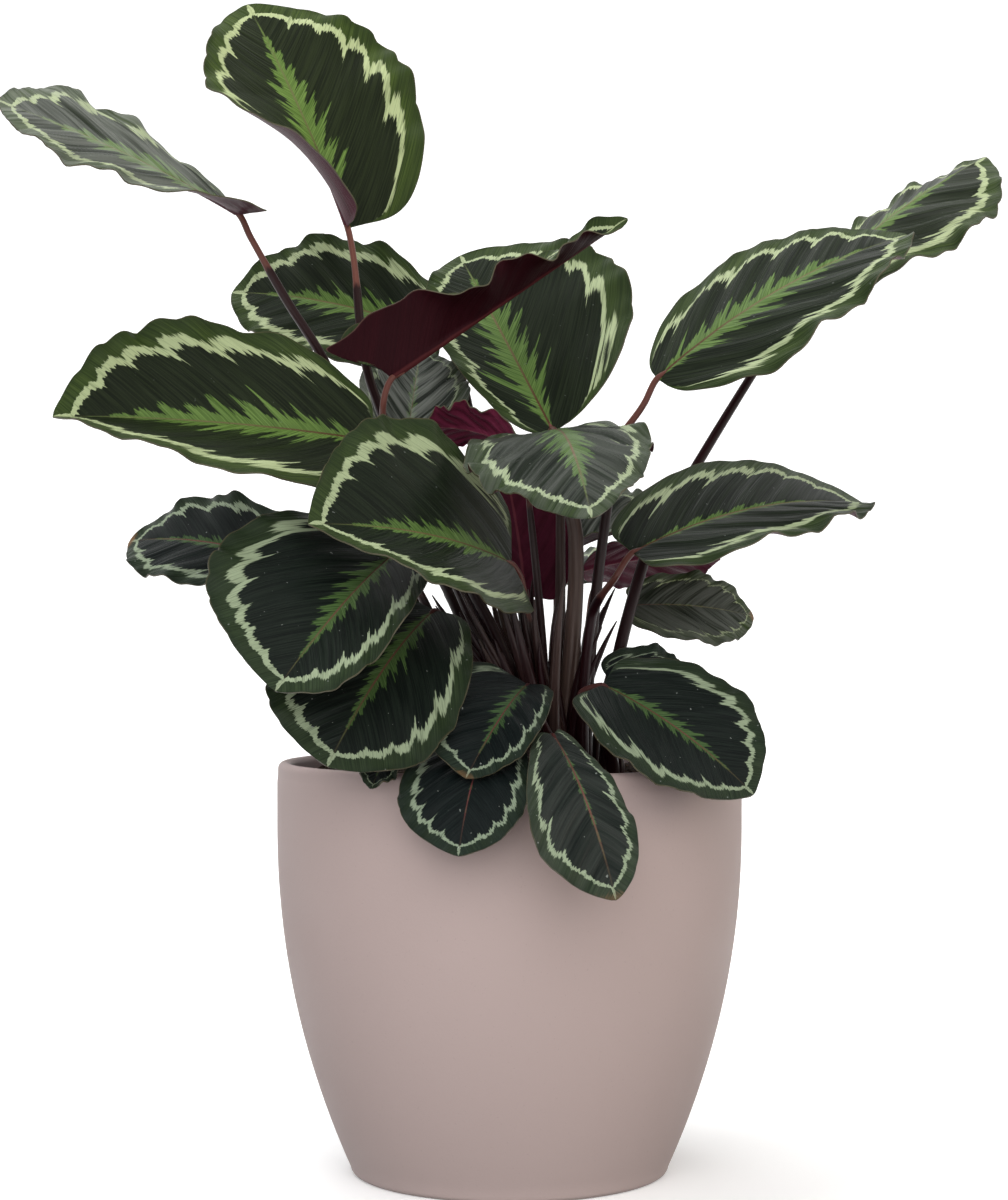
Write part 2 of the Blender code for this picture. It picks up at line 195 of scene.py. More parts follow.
def pot_radius(z):
    """Outer radius of the pot: it swells from the foot and is straight from the shoulder up."""
    share = max(0.0, 1 - z / SHOULDER_HEIGHT)
    step = STEP_DEPTH / (1 + math.exp((POT_HEIGHT - STEP_BELOW_LIP - z) / STEP_SOFTNESS))
    return POT_RADIUS - (POT_RADIUS - FOOT_RADIUS) * share ** TAPER_POWER - step


def smooth_faces(sharp):
    """Turns all faces outward and shades them smooth, but not over edges that bend more than this."""
    bpy.ops.mesh.select_all(action="SELECT")
    bpy.ops.mesh.normals_make_consistent(inside=False)
    bpy.ops.object.mode_set(mode="OBJECT")
    bpy.ops.object.shade_smooth_by_angle(angle=math.radians(sharp))


def throw_pot():
    """The pot as a disc whose rim is drawn up the outside, over the lip and down the inside."""
    lip_low = POT_HEIGHT - LIP_ROUND
    foot_turns = np.radians([20, 45, 70, 90])
    foot = [(pot_radius(LIP_ROUND) - LIP_ROUND * (1 - math.sin(a)), LIP_ROUND * (1 - math.cos(a)))
            for a in foot_turns]
    coarse = np.linspace(LIP_ROUND, POT_HEIGHT - COARSE_RINGS_TO, OUTSIDE_RINGS[0])[1:]
    fine = np.linspace(POT_HEIGHT - FINE_RINGS_FROM, lip_low, OUTSIDE_RINGS[1])
    outside = [(pot_radius(z), z) for z in (*coarse, *fine)]
    middle = pot_radius(lip_low) - WALL / 2
    lip = [(middle + WALL / 2 * math.cos(a), lip_low + LIP_ROUND * math.sin(a))
           for a in np.radians(np.linspace(15, 165, LIP_RINGS))]
    inside = [(pot_radius(z) - WALL, z) for z in np.linspace(lip_low, FLOOR, INSIDE_RINGS)]
    start = pot_radius(LIP_ROUND) - LIP_ROUND
    bpy.ops.mesh.primitive_circle_add(vertices=POT_SEGMENTS, radius=start, fill_type="NGON")
    bpy.ops.object.mode_set(mode="EDIT")
    bpy.ops.mesh.select_all(action="SELECT")
    radius, height = start, 0.0
    for next_radius, next_height in foot + outside + lip + inside:
        bpy.ops.mesh.extrude_region_move(TRANSFORM_OT_translate={"value": (0, 0, next_height - height)})
        wider = next_radius / radius
        bpy.ops.transform.resize(value=(wider, wider, 1), center_override=(0, 0, 0))
        radius, height = next_radius, next_height
    smooth_faces(40)
    pot = bpy.context.object
    pot.name = "glazed_pot"
    return pot


def mixed(tree, share, first, second):
    """A colour between two colours."""
    step = tree.nodes.new("ShaderNodeMix")
    step.data_type = "RGBA"
    for number, term in ((0, share), (6, first), (7, second)):
        give(tree, step.inputs[number], term)
    return step.outputs[2]


def reckon(tree, operation, *terms):
    """The result of a sum on numbers and on other results."""
    step = tree.nodes.new("ShaderNodeMath")
    step.operation = operation
    for socket, term in zip(step.inputs, terms):
        give(tree, socket, term)
    return step.outputs[0]


def times(tree, first, second):
    """One number or result times another."""
    return reckon(tree, "MULTIPLY", first, second)


def speckle(tree, vector, scale, detail=2.0, roughness=0.55):
    """Soft noise from 0 to 1 at a place."""
    step = tree.nodes.new("ShaderNodeTexNoise")
    step.inputs["Scale"].default_value = scale
    step.inputs["Detail"].default_value = detail
    step.inputs["Roughness"].default_value = roughness
    link(tree, vector, step.inputs["Vector"])
    return step.outputs["Fac"]


def raised(tree, shader, height, distance, strength):
    """Shades a surface as if it had this relief."""
    bump = tree.nodes.new("ShaderNodeBump")
    bump.inputs["Strength"].default_value = strength
    bump.inputs["Distance"].default_value = distance
    link(tree, height, bump.inputs["Height"])
    link(tree, bump.outputs["Normal"], shader.inputs["Normal"])


def matte_glaze():
    """Pinkish taupe glaze, faintly clouded, with fine dark specks and the grain of sprayed glaze."""
    made, shader = plain_material("matte_taupe_glaze", (0.4, 0.3, 0.3), 0.62)
    tree = made.node_tree
    place = tree.nodes.new("ShaderNodeTexCoord").outputs["Object"]
    cloud = speckle(tree, place, 22, 3)
    fine = speckle(tree, place, 620, 2)
    speck = eased(tree, speckle(tree, place, 900, 1), 0.70, 0.76)
    glaze = mixed(tree, cloud, GLAZE_DARK, GLAZE_LIGHT)
    glaze = mixed(tree, times(tree, speck, 0.25), glaze, GLAZE_SPECK)
    link(tree, glaze, shader.inputs["Base Color"])
    link(tree, eased(tree, cloud, 0.3, 0.7, 0.56, 0.66), shader.inputs["Roughness"])
    raised(tree, shader, fine, 0.00012, 0.5)
    return made


pot = throw_pot()
pot.data.materials.append(matte_glaze())
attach(pot, "root")
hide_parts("pot")

# The soil: dark, crumbly potting soil of peat and bark, filled to a little under the lip. It is one
# filling with a rough top, strewn with loose crumbs.
SOIL_TOP = 0.187
SOIL_LUMP = 0.0012
SOIL_CLOD = 0.0009
SOIL_GRAIN = 0.0006
SOIL_EDGE_GAP = 0.0004
SOIL_STEPS = 150
SOIL_RINGS = 8
RIM_DROP = 0.004
CRUMBS = 620
CRUMB_CLEAR = 0.004
CRUMB_SIZE = (0.0006, 0.0017)
EARTH_DAMP = (0.016, 0.010, 0.007)
EARTH_DRY = (0.052, 0.032, 0.022)
BARK = (0.13, 0.075, 0.045)


def rough(x, y, scale, seed):
    """Smooth rise and fall over the plane, from about -1 to 1."""
    draw = np.random.default_rng(seed)
    total = np.zeros_like(x)
    for turn in range(9):
        heading, start = draw.uniform(0, 2 * math.pi, 2)
        pitch = scale * draw.uniform(0.6, 1.5)
        total += np.sin((x * math.cos(heading) + y * math.sin(heading)) * pitch + start)
    return total / 4


def soil_height(x, y):
    """Height of the soil's top at a place."""
    lumps = SOIL_LUMP * (np.sin(x * 210 + 1) * np.cos(y * 170) + 0.5 * np.sin(y * 420 + x * 300))
    return SOIL_TOP + lumps + SOIL_CLOD * rough(x, y, 900, 1) + SOIL_GRAIN * rough(x, y, 2300, 2)


def soil_radius(z):
    """How far the soil reaches at a height, a hair inside the pot's wall."""
    return pot_radius(z) - WALL - SOIL_EDGE_GAP


def points_of(mesh):
    """The places of a mesh's points."""
    places = np.zeros(len(mesh.vertices) * 3, dtype=np.float32)
    mesh.vertices.foreach_get("co", places)
    return places.reshape(-1, 3).astype(float)


def move_points(mesh, places):
    """Puts a mesh's points at these places."""
    mesh.vertices.foreach_set("co", places.astype(np.float32).ravel())


def flat_sheet(name, across, along):
    """A square sheet from -1 to 1 both ways, cut into so many steps, and the places of its points."""
    bpy.ops.object.select_all(action="DESELECT")
    bpy.ops.mesh.primitive_grid_add(x_subdivisions=across, y_subdivisions=along, size=2)
    sheet = bpy.context.object
    sheet.name = name
    return sheet, points_of(sheet.data)


def fill_soil():
    """The filling: a square sheet is bent into a disc, roughened, and given its depth."""
    soil, square = flat_sheet("potting_soil", SOIL_STEPS, SOIL_STEPS)
    x = square[:, 0] * np.sqrt(1 - square[:, 1] ** 2 / 2)
    y = square[:, 1] * np.sqrt(1 - square[:, 0] ** 2 / 2)
    wide = soil_radius(SOIL_TOP)
    move_points(soil.data, np.stack([x * wide, y * wide, soil_height(x * wide, y * wide)], axis=1))
    bpy.ops.object.mode_set(mode="EDIT")
    bpy.ops.mesh.select_all(action="SELECT")
    bpy.ops.mesh.region_to_loop()
    height = SOIL_TOP
    for next_height in np.linspace(SOIL_TOP - RIM_DROP, FLOOR + SOIL_EDGE_GAP, SOIL_RINGS):
        bpy.ops.mesh.extrude_edges_move(TRANSFORM_OT_translate={"value": (0, 0, next_height - height)})
        narrower = soil_radius(next_height) / soil_radius(height)
        bpy.ops.transform.resize(value=(narrower, narrower, 1), center_override=(0, 0, 0))
        height = next_height
    bpy.ops.mesh.edge_face_add()
    smooth_faces(50)
    return soil


def strew_crumbs():
    """Loose crumbs of peat and bark on the soil, one crumb copied, squashed and turned many times."""
    bpy.ops.object.select_all(action="DESELECT")
    bpy.ops.mesh.primitive_ico_sphere_add(subdivisions=1, radius=1.0)
    crumb = bpy.context.object
    shape = np.array([v.co for v in crumb.data.vertices])
    faces = np.array([p.vertices for p in crumb.data.polygons])
    bpy.data.objects.remove(crumb)
    draw = np.random.default_rng(4)
    points, corners = [], []
    wide = pot_radius(SOIL_TOP) - WALL - CRUMB_CLEAR
    for count in range(CRUMBS):
        distance, heading = wide * math.sqrt(draw.uniform(0, 1)), draw.uniform(0, 2 * math.pi)
        x, y = distance * math.cos(heading), distance * math.sin(heading)
        size = draw.uniform(*CRUMB_SIZE) * (1, 1, 1, 1.7)[count % 4]
        stretch = draw.uniform(0.5, 1.3, 3) * size
        bumpy = shape * draw.uniform(0.75, 1.2, (len(shape), 1)) * stretch
        turn = draw.uniform(0, 2 * math.pi)
        across = bumpy[:, 0] * math.cos(turn) - bumpy[:, 1] * math.sin(turn)
        along = bumpy[:, 0] * math.sin(turn) + bumpy[:, 1] * math.cos(turn)
        rest = soil_height(x, y) + size * 0.25
        corners.append(faces + len(points) * len(shape))
        points.append(np.stack([x + across, y + along, rest + bumpy[:, 2]], axis=1))
    mesh = bpy.data.meshes.new("soil_crumbs")
    mesh.from_pydata(np.concatenate(points).tolist(), [], np.concatenate(corners).tolist())
    crumbs = bpy.data.objects.new("soil_crumbs", mesh)
    bpy.context.scene.collection.objects.link(crumbs)
    return crumbs


def crumbly_earth():
    """Dark brown soil, nearly black where it is damp, with lighter bits of bark."""
    made, shader = plain_material("crumbly_earth", (0.03, 0.02, 0.015), 0.95)
    tree = made.node_tree
    place = tree.nodes.new("ShaderNodeTexCoord").outputs["Object"]
    damp = speckle(tree, place, 90, 3)
    grit = speckle(tree, place, 900, 3, 0.7)
    bark = eased(tree, speckle(tree, place, 420, 2), 0.62, 0.70)
    earth = mixed(tree, damp, EARTH_DAMP, EARTH_DRY)
    earth = mixed(tree, times(tree, bark, 0.6), earth, BARK)
    link(tree, earth, shader.inputs["Base Color"])
    raised(tree, shader, grit, 0.0008, 0.8)
    return made


earth = crumbly_earth()
soil = fill_soil()
crumbs = strew_crumbs()
for piece in (soil, crumbs):
    piece.data.materials.append(earth)
    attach(piece, "root")
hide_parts("soil")

# How the plant grows: each leaf is one blade on a stalk of its own, and all stalks rise from one clump.
# A blade joins its stalk at base, ends at tip and turns its green side to face. half is the width of its
# left and right half with the tip up, and root is the stalk's foot. Lengths here are in millimetres.
LENGTHS = ("base", "tip", "half", "arch", "lobe", "hook", "root", "via", "stalk", "sheath")
USUAL = dict(
    arch=4,  # how high the blade's middle bows
    broadest=0.45,  # where along the blade it is widest
    fold=5,  # degrees that each half is folded up by at the base
    fold_tip=None,  # the same at the tip, where it differs
    unfold=1,  # where along the blade the fold has come to fold_tip
    curl=0,  # degrees that each half is rolled further
    tip_twist=0,  # degrees that the tip is turned
    slant=0.08,  # how far the side veins draw the margin to the tip, in blade lengths
    lobe=8,  # how far the margin reaches back at the base
    hook=0,  # how far it is lifted there
    pleat=1,  # depth of the pleats
    wave=1,  # depth of the margin's waves
    stalk=2,  # radius of the stalk under the blade
    sheath=3,  # and at its foot
    via=(),  # places that the stalk passes
    arrive=None,  # its direction at the blade, where it isn't the usual one
    age=0.5,  # 0 for a fresh green leaf, 1 for an old blue-green one
    dry=0,  # how brown the tip is
    ring=1,  # breadth of the pale ring
    plume=1,  # breadth of the bright feather
    pink=0.5,  # how bright the under side is
    painted_sheen=0,  # how much painted sheen, pale grey that stands in for glare of light, the blade has
    brown=0.1,  # how brown the stalk's skin is
)
LEAVES = [
    dict(name="01", age=0, plume=0.85, pink=0.45, pleat=0.5, wave=1.2,
         base=(-78, 20, 450), tip=(-131, 65, 568), face=(0.15, -0.9, 0.35),
         half=(54, 59), arch=8, unfold=0.55, fold=(82, 5), fold_tip=(14, 0), curl=(27, 0),
         slant=(-0.06, 0.04), root=(4, 4), via=[(-66, 10, 373)]),
    dict(name="02", age=0.3, plume=0.8, pleat=2.3, wave=1.1, painted_sheen=0.2,
         base=(-128, -10, 453), tip=(-234, -50, 498), face=(0.49, -0.45, 0.75),
         half=(37, 43), arch=3, fold=(3, 0), lobe=(18, 0), hook=(13, 0), broadest=0.6,
         arrive=(-0.45, 0, 0.89), root=(-6, 0), via=[(-86, -4, 380), (-106, -8, 413)]),
    dict(name="03", age=0.35, ring=1.25, plume=0.85, wave=1.4,
         base=(-34, 75, 403), tip=(-141, 90, 427), face=(-0.05, -0.8, 0.6),
         half=41, arch=8, fold=8, root=(8, 36), via=[(-14, 60, 330)]),
    dict(name="04", age=0.3, pink=0.03, wave=(1.2, 1.8),
         base=(-55, -24, 374), tip=(55, -25, 448), face=(-0.52, 0.05, 0.85),
         half=(28, 22), arch=0, fold=(85, 80), fold_tip=(20, 30), unfold=0.45,
         lobe=(20, 28), hook=(6, 12), tip_twist=70, broadest=0.3, slant=0.04,
         arrive=(0.3, 0, 0.95), root=(10, -12), via=[(-58, -18, 350)]),
    dict(name="05", age=0.35, ring=0.8, pleat=0.5, brown=0.5,
         base=(21, 10, 351), tip=(-25, 85, 445), face=(-0.27, -0.81, 0.51),
         half=(31, 67), arch=8, fold=(20, 0), slant=(0.12, 0.02), lobe=2, hook=(0, 12), root=(24, 14)),
    dict(name="06", age=0.35, ring=0.85, plume=0.8, pleat=1.9, wave=(0.4, 1.6),
         base=(69, -20, 374), tip=(191, 10, 445), face=(-0.25, -0.64, 0.72),
         half=(45, 52), arch=10, fold=(-5, -10), fold_tip=(-5, 30), lobe=0,
         root=(36, -4), via=[(50, -14, 340)]),
    dict(name="07", age=0.2, ring=1.1, plume=0.7, pleat=2.4, wave=1.5, painted_sheen=0.05, brown=0.05,
         base=(150, 60, 426), tip=(243, 90, 496), face=(-0.35, -0.65, 0.7),
         half=(34, 47), arch=6, fold=(-27, 0), broadest=0.55, slant=(0.08, 0.02),
         arrive=(0.6, 0.3, 0.74), root=(46, 6), via=[(64, 10, 287.5), (90, 30, 334)]),
    dict(name="08", age=0.2, ring=1.15, plume=0.9, pleat=1.2, wave=1.4,
         base=(-64, -34, 344), tip=(-207, -60, 353), face=(-0.05, -0.9, 0.42),
         half=(60, 51), arch=6, fold=(25, 5), fold_tip=(60, 5), slant=(0.08, 0.12),
         root=(2, -19), via=[(-30, -27, 290)]),
    dict(name="09", age=0.9, dry=1, plume=0.45,
         base=(-100, 0, 286), tip=(-187, 45, 299), face=(-0.1, -0.72, 0.68),
         half=(30, 31), arch=8, root=(-6, 8), via=[(-50, 4, 240)]),
    dict(name="10", age=0.45, ring=1.1, plume=0.75, pink=0.4, brown=0.3,
         base=(1, -40, 287), tip=(-88, -105, 303), face=(0.6, -0.68, 0.45),
         half=(52, 58), arch=10, fold=(15, 5), fold_tip=(45, 5), root=(16, -22)),
    dict(name="11", age=0.75, ring=1.05, plume=0.75,
         base=(-51, -60, 292), tip=(-100, -130, 231), face=(0.1, -0.85, 0.45),
         half=(36, 59), arch=10, fold=(30, 5), slant=(0.22, 0.13), root=(-2, -29), via=[(-36, -40, 262)]),
    dict(name="12", age=0.75, plume=0.7, pleat=0.8,
         base=(-34.5, -56, 265.5), tip=(-79, -115, 198), face=(0, -0.85, 0.5),
         half=(42, 45), arch=12, fold=(5, 0), slant=0.16, broadest=0.5, root=(8, -36)),
    dict(name="13", age=1, dry=0.5, ring=0.8, plume=0.55, pleat=0.9, wave=0.6,
         base=(8, -60, 232), tip=(-19, -118, 193), face=(0.1, -0.75, 0.6),
         half=(20, 36), arch=8, fold=(15, 5), slant=0.14, stalk=1.5, sheath=2.4, root=(22, -34)),
    dict(name="14", age=1, ring=0.8, plume=0.1, pleat=0.9, wave=0.5,
         base=(-10, -84, 205), tip=(-22, -134, 161), face=(-0.1, -0.85, 0.5),
         half=(26, 31), arch=10, fold=(5, 0), slant=0.14, stalk=1.5, sheath=2.4, root=(14, -46)),
    dict(name="15", age=0.85, dry=0.4, ring=0.8, plume=0.15, pleat=0.6, wave=0.7, painted_sheen=0.03,
         base=(19, -96, 211), tip=(44, -158, 145), face=(0.15, -0.9, 0.4),
         half=(17, 28), arch=10, fold=(0, 5), broadest=0.58, stalk=1.5, sheath=2.4, root=(28, -46)),
    dict(name="16", age=0.85, plume=0.6, pleat=0.5, wave=0.7, brown=0,
         base=(42, -65, 232), tip=(107.5, -90, 184), face=(0.1, -0.7, 0.7),
         half=(37, 40), arch=6, fold=(5, 12), slant=(0.08, 0.02), root=(48, -32)),
    dict(name="17", age=0.35, dry=1, ring=0.35, plume=0.1, pleat=0.4, wave=0.8, painted_sheen=0.14,
         base=(62, 50, 268), tip=(122, 65, 262), face=(0, -0.8, 0.6),
         half=(20, 24), stalk=1.5, sheath=2.4, arrive=(0.4, -0.5, 0.7), root=(42, 28)),
    dict(name="18", age=0.5, plume=0.3, pleat=(0.6, 1.8), wave=(0.2, 1.4), brown=0,
         base=(56, -50, 292), tip=(169, 5, 316), face=(-0.15, -0.55, 0.8),
         half=(44, 45), arch=10, fold_tip=(5, 20), root=(34, -20), via=[(38, -32, 262)]),
    dict(name="19", age=0.55, ring=0.85, pleat=2, wave=1.5, painted_sheen=0.08, brown=0.9,
         base=(20, -30, 349), tip=(35, -125, 305), face=(0, -0.66, 0.75),
         half=(38, 47), arch=13, fold=(-5, -12),
         stalk=3.2, sheath=4.2, hook=(4, 8), slant=0, lobe=(14, 18), broadest=0.4,
         root=(26, -10), via=[(31, -16, 300)]),
    dict(name="20", age=0.6, ring=0.6, plume=0.5, pleat=0.9, painted_sheen=0.22,
         base=(26, 60, 294), tip=(85, 78, 308), face=(0, -0.05, 1),
         half=30, fold=(50, 12), arrive=(0.2, 0.1, 0.97), root=(26, 42)),
    dict(name="21", pink=0.8, brown=0.5, base=(36, 55, 286), tip=(106, 70, 291), face=(0, 0.5, 0.87),
         half=28, fold=0, lobe=0, arrive=(0.3, 0.1, 0.95), root=(36, 36)),
    dict(name="22", age=0.6, pink=0.4,
         base=(8, 20, 272), tip=(-2, 30, 335), face=(0.2, 0.9, 0.3), half=30, root=(12, 13)),
    dict(name="23", age=0.6, ring=0.5, plume=0.4, pleat=0.8, painted_sheen=0.26,
         base=(-50, 25, 345), tip=(-44, 55, 395), face=(0.1, -0.8, 0.6), half=27, root=(2, 18)),
    dict(name="24", pink=0.9, base=(0, -4, 345), tip=(-42, -2, 352), face=(0.1, 0.5, 0.85),
         half=18, stalk=1.5, sheath=2.4, root=(18, 4)),
    dict(name="25", age=1, ring=0.3, plume=0.1, pleat=0.4, wave=0.6,
         base=(48, -12, 230), tip=(85, -4, 221), face=(0.1, -0.8, 0.6),
         half=25, stalk=1.5, sheath=2.4, arrive=(0.3, -0.5, 0.8), root=(52, -14)),
    dict(name="26", age=0.9, ring=0.5, base=(-49, -77, 206), tip=(-60, -109, 188), face=(-0.1, -0.6, 0.8),
         half=11, stalk=1.2, sheath=1.8, root=(-6, -44)),
    dict(name="27", base=(0, 70, 300), tip=(-50, 160, 320), face=(0.1, 0.1, 1),
         half=42, arch=16, fold=8, root=(16, 40)),
    dict(name="28", base=(45, 100, 280), tip=(95, 170, 275), face=(0.1, 0.3, 0.95),
         half=(34, 36), arch=18, fold=8, root=(34, 46)),
    dict(name="29", base=(-60, 45, 265), tip=(-130, 110, 250), face=(-0.2, 0.3, 0.9),
         half=38, arch=14, fold=8, root=(-4, 24)),
]


def unit(vector):
    """The same direction, one long."""
    vector = np.asarray(vector, dtype=float)
    return vector / np.linalg.norm(vector)


def filled(leaf):
    """A leaf's values, its lengths in metres, with the usual ones where its entry names none."""
    leaf = {**USUAL, **leaf}
    for key in LENGTHS:
        leaf[key] = np.array(leaf[key]) / 1000
    leaf["fold_tip"] = leaf["fold_tip"] or leaf["fold"]
    leaf["length"] = np.linalg.norm(leaf["tip"] - leaf["base"])
    leaf["first_wave"] = 1.7 * int(leaf["name"])
    return leaf


def midrib(leaf, s):
    """Place, forward, green side and right side of the blade at s, from 0 at base to 1 at tip."""
    run = leaf["tip"] - leaf["base"]
    forward = unit(run)
    up = unit(leaf["face"] - forward * np.dot(leaf["face"], forward))
    bow = up * leaf["arch"]
    held = np.clip(s, 0.0, 1.0)[..., None]
    place = leaf["base"] + run * s[..., None] + bow * 4 * (held * (1 - held) + np.minimum(s, 0.0)[..., None])
    ahead = run + bow * 4 * (1 - 2 * held)
    ahead /= np.linalg.norm(ahead, axis=-1, keepdims=True)
    normal = up - ahead * (ahead @ up)[..., None]
    normal /= np.linalg.norm(normal, axis=-1, keepdims=True)
    side = np.cross(ahead, normal)
    turn = np.radians(leaf["tip_twist"] * held ** 6)
    return (place, ahead, normal * np.cos(turn) + side * np.sin(turn),
            side * np.cos(turn) - normal * np.sin(turn))


# The blades: thin leathery leaves, green above and wine red below, folded or bowed along the midrib,
# with a waved and finely scalloped margin. Side veins leave the midrib at a slant and pleat the blade.
BLADE_THICKNESS = 0.0006
EDGE_WAVE = 0.0022
WAVES_ALONG = 3.5
FINE_WAVE = 0.0009
FINE_WAVES_ALONG = 9.0
SCALLOP = 0.035
VEIN_BUNDLES = 5.5
PLEAT = 0.0012
MIDRIB_GROOVE = 0.0004
GROOVE_WIDTH = 0.0016
MIDRIB_RIDGE = 0.0011
RIDGE_WIDTH = 0.0013
LOBE_PLACE = 0.08
FULLNESS = 0.54
TIP_NARROWER = 0.16
VEIN_ARC = 1.3
RIPPLE = 0.16
COLUMNS = 24
COLUMN_CROWDING = 1.4
ROWS = 110
ROW_CROWDING = 0.08
SAME_PLACE = 0.00001
VEIN_SLOPE = 1.0
VEIN_SWEEP = 0.8

# The pale ring's place between midrib and margin, where along the blade it bends in, and how much
# further on it closes
RING_PLACE = 0.77
RING_BENDS = 0.47
RING_CLOSES = 0.475
RING_WIDTH = (0.022, 0.048)
RING_SPIKE = (0.02, 0.12)
RING_TATTERS = (0.30, 0.22)
FEATHER_WIDTH = (0.012, 0.080)
FEATHER_TUFTS = 11.0

# Streaks along the side veins: how many to a blade length, and how fast they change outward
FINE_STREAKS = (120, 5)
COMB_STREAKS = (71, 5)
COARSE_STREAKS = (36, 3)
BROAD_STREAKS = (9, 2, 1.0)
WINE_STREAKS = (90, 4)

# Screen colours of the green side, in pairs for a fresh and for an old leaf
MIDDLE_DEEP = ((17, 23, 10), (11, 16, 17))
MIDDLE_LIGHT = ((33, 41, 20), (23, 30, 29))
OUTSIDE_DEEP = ((38, 53, 16), (23, 33, 26))
OUTSIDE_LIGHT = ((65, 81, 31), (40, 51, 41))
OUTSIDE_CLOUD = (32, 42, 22)
OUTSIDE_EDGE = ((34, 46, 20), (24, 32, 27))
RING_PALE = ((164, 175, 129), (134, 148, 125))
FEATHER_DEEP = ((62, 86, 30), (38, 58, 33))
FEATHER_LIGHT = ((102, 128, 62), (66, 90, 55))
RIB_ABOVE = ((96, 98, 60), (100, 44, 52))
RIB_FOOT = (72, 34, 30)
MARGIN = (84, 78, 58)
WITHERED = (112, 84, 56)
DUST = (170, 176, 170)
# Pale grey of the painted sheen, which stands in for the glare of light on a blade
SHEEN_PAINT = (150, 154, 146)

# Screen colours of the under side, in pairs for a dull and for a bright one, and of the thin edge
WINE_DEEP = ((25, 5, 8), (88, 28, 50))
WINE_LIGHT = ((42, 11, 15), (126, 50, 76))
WINE_CLOUD = ((30, 8, 12), (68, 20, 34))
RIB_BELOW = ((76, 34, 34), (150, 78, 90))
MARGIN_BELOW = (104, 80, 72)
# Pale grey of the painted sheen below, which stands in for the glare of light
SHEEN_PAINT_BELOW = (190, 184, 186)
EDGE = (70, 66, 46)


def vein_number(s, aside):
    """Where the side vein through a spot leaves the midrib, from 0 at the base to 1 at the tip."""
    return s - VEIN_SLOPE * aside - VEIN_SWEEP * aside ** 2


def blade_shape(leaf, u, m):
    """Places of a blade's middle surface, how far aside each is, and its side vein, in blade lengths.

    u goes from -1 at the left margin to 1 at the right, and m from 0 at the base to 1 at the tip.
    """
    left = u < 0

    def each(key):
        """A value of the leaf, for the left or for the right half."""
        return np.where(left, *np.broadcast_to(leaf[key], 2))

    widest, length = each("half"), leaf["length"]
    stretch = m ** (math.log(0.5) / math.log(leaf["broadest"]))
    part = np.clip(np.sin(np.pi * stretch), 0, 1) ** (FULLNESS + TIP_NARROWER * m ** 3)
    by_base = m / LOBE_PLACE * np.exp(1 - m / LOBE_PLACE)
    edge = m + each("slant") * np.sin(np.pi * m) - each("lobe") / length * by_base
    s = m + np.abs(u) ** VEIN_ARC * (edge - m)
    start = leaf["first_wave"] + np.where(left, 0.0, 2.0)
    ends = vein_number(edge, widest * part / length)
    wave = each("wave")
    scallop = SCALLOP * wave * (np.abs(np.sin(np.pi * VEIN_BUNDLES * ends)) ** 0.8 - 0.6)
    part = part * (1 + scallop * np.abs(u) ** 5)
    aside = widest * np.abs(u) * part / length
    vein = vein_number(s, aside)
    place, _, normal, side = midrib(leaf, s)
    fold = each("fold")
    fold = np.radians(fold + (each("fold_tip") - fold) * np.clip(s / leaf["unfold"], 0, 1))
    curl = np.radians(each("curl")) + 1e-4
    part = np.abs(u) * part
    out = widest / curl * (np.sin(fold + curl * part) - np.sin(fold))
    rise = widest / curl * (np.cos(fold) - np.cos(fold + curl * part))
    swell = np.sin(np.pi * m) ** 0.5
    waves, fine_waves = 2 * np.pi * WAVES_ALONG * m + start, 2 * np.pi * FINE_WAVES_ALONG * m + 2 * start
    rise = rise + wave * EDGE_WAVE * np.abs(u) ** 2.5 * swell * np.sin(waves)
    rise = rise + wave * FINE_WAVE * np.abs(u) ** 7 * swell * np.sin(fine_waves)
    crease = np.abs(np.sin(np.pi * VEIN_BUNDLES * vein)) - 0.64
    ripple = RIPPLE * np.cos(6 * np.pi * VEIN_BUNDLES * vein)
    spread = (1 - np.exp(-np.abs(u) / 0.15)) * (1 - 0.5 * np.abs(u) ** 4) * swell
    rise = rise + PLEAT * each("pleat") * spread * (crease + ripple)
    hook = each("hook") * u * u * by_base
    rise = rise + hook - MIDRIB_GROOVE * np.exp(-(aside * length / GROOVE_WIDTH) ** 2) * (1 - m)
    place = place + side * (np.sign(u) * out)[..., None] + normal * rise[..., None]
    return place, aside, vein


def face_corners(mesh):
    """The number of the point at each face corner."""
    numbers = np.zeros(len(mesh.loops), dtype=np.int32)
    mesh.loops.foreach_get("vertex_index", numbers)
    return numbers


def lay_map(mesh, name, first, second):
    """Gives each face corner of a mesh two values that a material reads as a map."""
    layer = mesh.uv_layers.new(name=name)
    layer.data.foreach_set("uv", np.stack([first, second], axis=1).astype(np.float32).ravel())


def carry(mesh, name, values):
    """Gives each point of a mesh a value that a material reads."""
    layer = mesh.attributes.new(name, "FLOAT", "POINT")
    layer.data.foreach_set("value", np.broadcast_to(values, len(mesh.vertices)).astype(np.float32))


